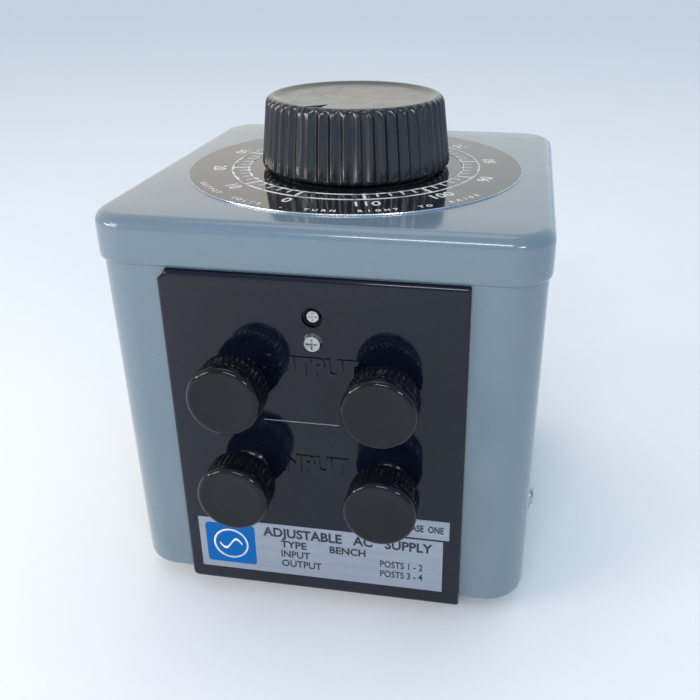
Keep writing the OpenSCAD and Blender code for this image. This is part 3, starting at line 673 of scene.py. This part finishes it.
def drill(plate, profile, centre):
    """Cuts a turned shape, looking out of the front, from a piece."""
    verts, faces = lathe(profile, 48, centre, FACE_TURN)
    cut_mesh = bpy.data.meshes.new("cutter")
    cut_mesh.from_pydata([tuple(v) for v in verts], [], faces)
    bm = bmesh.new()
    bm.from_mesh(cut_mesh)
    bmesh.ops.remove_doubles(bm, verts=bm.verts, dist=1e-6)
    bmesh.ops.recalc_face_normals(bm, faces=bm.faces)
    bm.to_mesh(cut_mesh)
    bm.free()
    cutter = bpy.data.objects.new("cutter", cut_mesh)
    bpy.context.scene.collection.objects.link(cutter)
    modifier = plate.modifiers.new("hole", "BOOLEAN")
    modifier.object = cutter
    modifier.solver = "EXACT"
    bpy.context.view_layer.update()
    cut = bpy.data.meshes.new_from_object(plate.evaluated_get(bpy.context.evaluated_depsgraph_get()))
    plate.modifiers.clear()
    plate.data = cut
    bpy.data.objects.remove(cutter)


def panel_plate():
    """The glossy panel, its bevelled edge, and the hole over the upper screw, with a black ring laid in it as
    painted shade on the hole's floor.
    """
    y0, y1 = panel_high.y, panel_low.y
    bevel = ((0.0, 1.1), (0.1, 0.8), (0.35, 0.4), (0.8, 0.1), (1.2, 0.0))     # inset, depth behind the face
    rings = [panel_outline(0, y0)]
    rings += [panel_outline(inset * MM, y1 + depth * MM) for inset, depth in bevel]
    verts, faces = loft(rings)
    plate = add_piece("panel_plate", verts, faces, "case", MATERIALS["gloss_black"], "gloss_black",
                      ["terminal_panel"], sharp=20)
    centre = screw_centre("recessed_screw")
    centre.y = y1
    axis_r, hole_r, mouth_r = 0.0001 * MM, 3.1 * MM, 3.3 * MM
    deep, proud = -4 * MM, 1.0 * MM
    drill(plate, [(axis_r, deep), (hole_r, deep), (hole_r, -0.15 * MM), (mouth_r, proud), (axis_r, proud)],
          centre)
    # Painted shade: a thin black ring on the case wall at the bottom of the hole darkens the hole's floor,
    # where shadow falls.
    ring = [(2.25 * MM, 0.02 * MM), (3.05 * MM, 0.02 * MM), (3.05 * MM, 0.45 * MM), (2.3 * MM, 0.45 * MM)]
    seat = Vector((centre.x, y0, centre.z))
    add_piece("hole_painted_shade_ring", *lathe(ring, 48, seat, FACE_TURN), "case", MATERIALS["black_rubber"],
              "black_rubber")


def raised_lettering():
    """Raised words in the panel's own black, and the pale line between the two rows."""
    parts = []
    lift = 0.45 * MM
    bold = 0.00045
    for text, row, rise in (("OUTPUT", "output_left_cap", 4.7), ("INPUT", "input_left_cap", 3.8)):
        low, high = span(row)
        z = (low.z + high.z) / 2 + rise * MM
        spot = Matrix.Translation(Vector((SHAFT.x - 1.6 * MM, PANEL_FACE + 0.02 * MM, z)))
        parts.append(placed(text_mesh(text, 8.0 * MM, lift, bold), spot @ FACE_TURN))
    verts, faces = join_parts(parts)
    add_piece("panel_lettering", verts, faces, "case", MATERIALS["gloss_black"], "gloss_black")
    middle = (span("output_left_cap")[0].z + span("input_left_cap")[1].z) / 2 + 2.4 * MM
    line = block((SHAFT.x - 16 * MM, PANEL_FACE - PRINT_T, middle - 0.12 * MM),
                 (SHAFT.x + 7.5 * MM, PANEL_FACE + 0.1 * MM, middle + 0.12 * MM))
    add_piece("panel_line", *line, "case", MATERIALS["print_grey"], "label_silver")


# Binding posts ---------------------------------------------------------------------------------

POSTS = ("output_left", "output_right", "input_left", "input_right")


def post_cap(name):
    """One cap: fluted grip behind, a smooth rounded rim in front, a shallow dish in its face."""
    low, high = span(name + "_cap")
    centre = Vector(((low.x + high.x) / 2, high.y, (low.z + high.z) / 2))
    length = high.y - low.y
    r = (high.x - low.x) / 2
    grip = r - 0.15 * MM
    flutes, per = 36, 10        # how many, and points along each
    flute_depth = 0.4 * MM
    steps = flutes * per
    bore = 5.0 * MM
    bore_floor = length - 1.6 * MM
    tall = length / MM
    rim = 1.6                   # rounding of the front edge, in mm
    # radius, height in mm from the cap's rear end, share of the flutes' depth
    levels = [(bore, 0.6, 0), (bore + 0.5 * MM, 0.0, 0), (grip - 0.9 * MM, 0.0, 0.0),
              (grip - 0.25 * MM, 0.22, 0.6), (grip, 0.8, 1.0), (grip, 3.2, 1.0), (grip, tall - 4.5, 1.0),
              (grip - 0.1 * MM, tall - 4.1, 0.5), (grip - 0.25 * MM, tall - 3.85, 0.0),
              (grip - 0.25 * MM, tall - 3.6, 0.0), (r - 0.08 * MM, tall - 3.45, 0.0),
              (r, tall - 3.2, 0.0), (r, tall - 1.7, 0.0)]
    for k in range(1, 8):
        a = math.pi / 2 * k / 7
        levels.append((r - rim * MM * (1 - math.cos(a)), tall - rim + rim * math.sin(a), 0.0))
    levels += [(r - 2.2 * MM, tall, 0), (r - 2.6 * MM, tall - 0.12, 0),
               (r * 0.5, tall - 0.16, 0), (r * 0.15, tall - 0.16, 0)]
    rings = []
    for radius, height, depth in levels:
        ring = []
        for k in range(steps):
            a = TAU * k / steps
            bite = max(0.0, math.cos(flutes * a)) ** 1.3 * flute_depth * depth
            ring.append(Vector(((radius - bite) * math.cos(a), (radius - bite) * math.sin(a), height * MM)))
        rings.append(ring)
    turn = Matrix.Translation(centre) @ FACE_TURN
    verts, faces = loft([[turn @ p for p in ring] for ring in rings], close_start=False)
    bottom = [turn @ Vector((bore * math.cos(TAU * k / steps), bore * math.sin(TAU * k / steps), bore_floor))
              for k in range(steps)]
    n = len(verts)
    verts += bottom
    faces += [(k, n + k, n + (k + 1) % steps, (k + 1) % steps) for k in range(steps)]
    faces.append(tuple(range(n, n + steps)))
    add_piece(name + "_grip", verts, faces, name + "_knob", MATERIALS["cap_black"], "knob_black",
              [name + "_cap"], sharp=50)


# Labels -----------------------------------------------------------------------------------------

LABEL_ROWS = (      # words, letter size, start from the left, middle below the top, boldness, width; in mm
    ("ADJUSTABLE   AC   SUPPLY", 5.0, 22.2, 3.5, 0.14, 56.3),
    ("TYPE", 3.9, 28.0, 8.0, 0.10, 8.8),
    ("BENCH", 3.9, 44.6, 8.2, 0.10, 12.0),
    ("INPUT", 3.9, 28.0, 12.0, 0.06, 9.8),
    ("OUTPUT", 3.9, 28.0, 15.9, 0.06, 13.6),
    ("POSTS 1 - 2", 3.7, 61.4, 11.6, 0.06, 14.0),
    ("POSTS 3 - 4", 3.7, 61.4, 15.6, 0.06, 14.0),
)


def label_text(text, size, x, z, y, bold, width):
    """Words on a label; x is where they start. The width squeezes or stretches them to fit."""
    verts, faces = text_mesh(text, size, PRINT_T, bold)
    start, end = min(v.x for v in verts), max(v.x for v in verts)
    squeeze = width / (end - start)
    verts = [Vector(((v.x - start) * squeeze, v.y, v.z)) for v in verts]
    return placed((verts, faces), Matrix.Translation(Vector((x, y, z))) @ FACE_TURN)


def print_forward(outline):
    """A thin printed shape that stands out of the front from an upright outline."""
    return loft([outline, [p - Vector((0, PRINT_T, 0)) for p in outline]])


def label_square(x0, x1, z0, z1, y):
    """The blue square with round corners."""
    corner = 1.3 * MM
    outline = []
    for cx, cz, start in ((x1 - corner, z1 - corner, 0), (x0 + corner, z1 - corner, 90),
                          (x0 + corner, z0 + corner, 180), (x1 - corner, z0 + corner, 270)):
        for k in range(7):
            a = math.radians(start + 15 * k)
            outline.append(Vector((cx + corner * math.cos(a), y, cz + corner * math.sin(a))))
    add_piece("label_blue_square", *print_forward(outline), "case", MATERIALS["print_blue"], "label_silver")


def label_sign(middle):
    """A plain sine wave in a ring."""
    r_in, r_out = 5.3 * MM, 6.0 * MM
    reach, swing, half = 3.9 * MM, 1.9 * MM, 0.45 * MM
    steps = 32
    parts = [lathe([(r_in, 0), (r_out, 0), (r_out, PRINT_T), (r_in, PRINT_T)], 64, middle, FACE_TURN)]
    wave = []
    for k in range(steps + 1):
        t = k / steps * 2 - 1
        wave.append((t * reach, swing * math.sin(math.pi * t)))
    for (xa, za), (xb, zb) in zip(wave, wave[1:]):
        quad = ((xa, za - half), (xb, zb - half), (xb, zb + half), (xa, za + half))
        parts.append(print_forward([middle + Vector((x, 0, z)) for x, z in quad]))
    verts, faces = join_parts(parts)
    add_piece("label_sign", verts, faces, "case", MATERIALS["print_white"], "label_silver")


def label_print():
    """Generic print on the two labels: a plain sine-wave sign on blue, and rows of words."""
    low, high = span("rating_label")
    y = low.y + 0.01 * MM
    x0, x1, z0, z1 = low.x + 2.2 * MM, low.x + 19.2 * MM, low.z + 2.4 * MM, high.z - 1.9 * MM
    label_square(x0, x1, z0, z1, y)
    label_sign(Vector(((x0 + x1) / 2, y - PRINT_T, (z0 + z1) / 2)))
    rows = [label_text(text, size * MM, low.x + start * MM, high.z - drop * MM, y, bold * MM, width * MM)
            for text, size, start, drop, bold, width in LABEL_ROWS]
    tab_low, tab_high = span("origin_label")
    rows.append(label_text("PHASE  ONE", 3.5 * MM, tab_low.x + 1.4 * MM, (tab_low.z + tab_high.z) / 2, y,
                           0.1 * MM, tab_high.x - tab_low.x - 3.2 * MM))
    verts, faces = join_parts(rows)
    add_piece("label_words", verts, faces, "case", MATERIALS["print_dark"], "label_silver")


# Brush spring --------------------------------------------------------------------------------

def spring_coil():
    """The helical spring over the carbon brush, built at one length with a mesh of its own; on the real thing
    it shortens as the brush rides up.
    """
    low, high = span("brush_spring")
    wire = 0.35 * MM
    radius = (min(high.x - low.x, high.y - low.y)) / 2 - wire
    centre = Vector(((low.x + high.x) / 2, (low.y + high.y) / 2, 0))
    turns, steps, sides = 5, 28, 10
    rings = []
    for i in range(turns * steps + 1):
        a = TAU * i / steps
        rise = (high.z - low.z - 2 * wire) * i / (turns * steps)
        middle = centre + Vector((radius * math.cos(a), radius * math.sin(a), low.z + wire + rise))
        out = Vector((math.cos(a), math.sin(a), 0))
        rings.append([middle + out * wire * math.cos(TAU * k / sides)
                      + Vector((0, 0, 1)) * wire * math.sin(TAU * k / sides) for k in range(sides)])
    verts, faces = loft(rings)
    coil = add_piece("spring_coil", verts, faces, "rotor", MATERIALS["zinc_steel"], "zinc_steel",
                     ["brush_spring"])
    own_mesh(coil)


# CAD nodes that keep their shape ------------------------------------------------------------------

def dress_cad_nodes():
    """Every CAD node that still shows gets its slot's node material."""
    slots = {row["node"]: row["material_slot"] for row in frame["record"]["subparts"]}
    for name, obj in frame["nodes"].items():
        obj.data.materials.clear()
        obj.data.materials.append(MATERIALS[slots[name]])


# Camera, light and floor ----------------------------------------------------------------------------

def camera():
    """A near view from above the front right, looking a little down and to the left."""
    data = bpy.data.cameras.new("view")
    data.sensor_width = 36
    data.lens = 41.8
    data.shift_x = -0.0603
    data.shift_y = -0.0561
    data.clip_start = 0.01
    obj = bpy.data.objects.new("view", data)
    bpy.context.scene.collection.objects.link(obj)
    yaw, pitch = math.radians(-9.29), math.radians(24.37)
    forward = Vector((math.sin(yaw) * math.cos(pitch), math.cos(yaw) * math.cos(pitch), -math.sin(pitch)))
    obj.rotation_euler = forward.to_track_quat("-Z", "Y").to_euler()
    obj.location = SHAFT + Vector((0.0574, -0.2739, 0.2049))
    bpy.context.scene.camera = obj


def area_light(name, place, target, size, power, colour=(1, 1, 1)):
    """A flat lamp at a place, facing a target."""
    data = bpy.data.lights.new(name, "AREA")
    data.shape = "RECTANGLE"
    data.size, data.size_y = size
    data.energy = power
    data.color = colour
    obj = bpy.data.objects.new(name, data)
    bpy.context.scene.collection.objects.link(obj)
    obj.location = place
    obj.rotation_euler = (Vector(target) - Vector(place)).to_track_quat("-Z", "Y").to_euler()


def graded(tree, value, low, high, start, end):
    """A colour that runs from start to end while a value runs from low to high."""
    ramp = tree.nodes.new("ShaderNodeMapRange")
    blend = tree.nodes.new("ShaderNodeMix")
    blend.data_type = "RGBA"
    tree.links.new(value, ramp.inputs["Value"])
    ramp.inputs["From Min"].default_value = low
    ramp.inputs["From Max"].default_value = high
    tree.links.new(ramp.outputs[0], blend.inputs[0])
    blend.inputs[6].default_value = (*start, 1)
    blend.inputs[7].default_value = (*end, 1)
    return blend.outputs[2]


def tent():
    """Even light all round: bluer in front and on the right, brighter and warmer behind and on the left."""
    world = bpy.data.worlds.new("studio")
    world.use_nodes = True
    tree = world.node_tree
    way = tree.nodes.new("ShaderNodeTexCoord")
    split = tree.nodes.new("ShaderNodeSeparateXYZ")
    tree.links.new(way.outputs["Generated"], split.inputs[0])
    back = graded(tree, split.outputs["Y"], -0.1, 0.85, (0.45, 0.54, 0.66), (1.10, 1.04, 0.96))
    across = graded(tree, split.outputs["X"], -0.9, 0.7, (1.10, 1.04, 0.98), (0.66, 0.87, 1.04))
    tint = tree.nodes.new("ShaderNodeMix")
    tint.data_type = "RGBA"
    tint.blend_type = "MULTIPLY"
    tint.inputs[0].default_value = 1.0
    tree.links.new(back, tint.inputs[6])
    tree.links.new(across, tint.inputs[7])
    tree.links.new(tint.outputs[2], tree.nodes["Background"].inputs["Color"])
    bpy.context.scene.world = world


def lamps():
    """A soft lamp overhead, three long ones for the highlights on the edges, and a warm fill."""
    aim = SHAFT + Vector((0, 0, 0.09))
    low_left = SHAFT + Vector((-0.05, -0.06, 0.06))
    area_light("overhead", (-0.10, 0.1, 1.2), aim, (0.8, 0.5), 1.6, (1.0, 0.96, 0.90))
    area_light("window_middle", (-0.02, -1.25, 0.92), aim, (0.60, 0.13), 5.0)
    area_light("window_right", (0.85, -1.30, 0.66), aim, (0.36, 0.13), 3.8)
    area_light("window_left", (-1.55, -0.60, 0.40), aim, (0.40, 0.12), 3.8)
    area_light("left_fill", (-0.50, -0.42, 0.30), low_left, (0.22, 0.22), 1.2, (1.0, 0.85, 0.72))


def floor_paper():
    """A plain pale floor."""
    n = Nodes("floor_paper", Roughness=0.85)
    n.link(n.mix(n.noise(30.0, 4.0), (0.955, 0.95, 0.94), (0.97, 0.965, 0.96)), "Base Color")
    n.link(n.bump(n.noise(900.0, 3.0), 0.00002), "Normal")
    bpy.ops.mesh.primitive_plane_add(size=12, location=(0, 0, 0))
    floor = bpy.context.object
    floor.name = "floor"
    floor.data.materials.append(n.material)


bpy.context.scene.view_settings.view_transform = "Standard"
camera()
tent()
lamps()
floor_paper()
dress_cad_nodes()
case_shell()
lid_shell()
dial_disc()
dial_print()
fluted_knob()
knob_pointer()
panel_plate()
raised_lettering()
for post in POSTS:
    post_cap(post)
label_print()
spring_coil()
